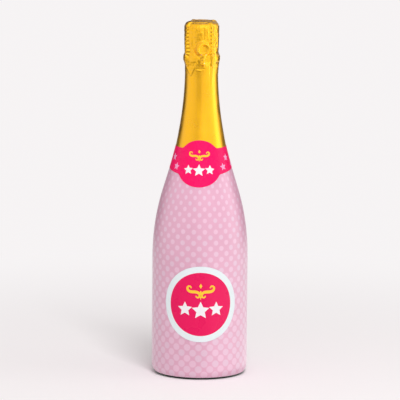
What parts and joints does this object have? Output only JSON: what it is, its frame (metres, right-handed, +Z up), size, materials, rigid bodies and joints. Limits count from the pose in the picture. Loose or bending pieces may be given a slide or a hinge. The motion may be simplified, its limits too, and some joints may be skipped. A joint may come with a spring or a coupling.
{
  "type": "sparkling wine bottle",
  "caption": "Sealed sparkling wine bottle with a printed shrink sleeve, paper labels, foil hood, wire cage and mushroom cork.",
  "frame": {"origin": "centre of the ring that the bottle stands on", "axes": "+Z up along the bottle's axis, towards the cork; the labels face -Y"},
  "size_m": [0.0874, 0.0876, 0.325],
  "materials": {
    "bottle_glass": "polished dark green glass",
    "sleeve_film": "glossy pale pink film with a lattice of paler dots",
    "body_label_paper": "white label with a printed hot pink disc",
    "collar_paper": "glossy hot pink print with pale stars",
    "gold_foil": "satin gold lacquered foil",
    "tinplate": "gold lacquered tinplate",
    "steel_wire": "bright galvanised wire",
    "pressed_cork": "agglomerate cork",
    "natural_cork": "natural cork"
  },
  "bodies": {
    "bottle": {"glass_bottle": "bottle_glass", "body_sleeve": "sleeve_film", "front_label": "body_label_paper", "neck_label": "collar_paper", "foil_skirt": "gold_foil"},
    "cork": {"cork_body": "pressed_cork", "cork_disc_upper": "natural_cork", "cork_disc_lower": "natural_cork"},
    "cage": {"cap_plate": "tinplate", "cage_wire": "steel_wire", "belt_wire": "steel_wire"},
    "loop": {"wire_loop": "steel_wire"},
    "hood": {"foil_hood": "gold_foil"}
  },
  "joints": [
    {"name": "cork_pull", "type": "slide", "parent": "bottle", "child": "cork", "axis": [0, 0, 1], "range_m": [0, 0.06]},
    {"name": "cage_lift", "type": "slide", "parent": "cork", "child": "cage", "axis": [0, 0, 1], "range_m": [0, 0.06], "deforming": ["cage_wire", "belt_wire"]},
    {"name": "loop_fold", "type": "hinge", "parent": "cage", "child": "loop", "pos_m": [0.00202, -0.01643, 0.28732], "axis": [0.9925, 0.1219, 0], "range_deg": [0, 100]},
    {"name": "hood_lift", "type": "slide", "parent": "cage", "child": "hood", "axis": [0, 0, 1], "range_m": [0, 0.075], "deforming": ["foil_hood"]}
  ]
}
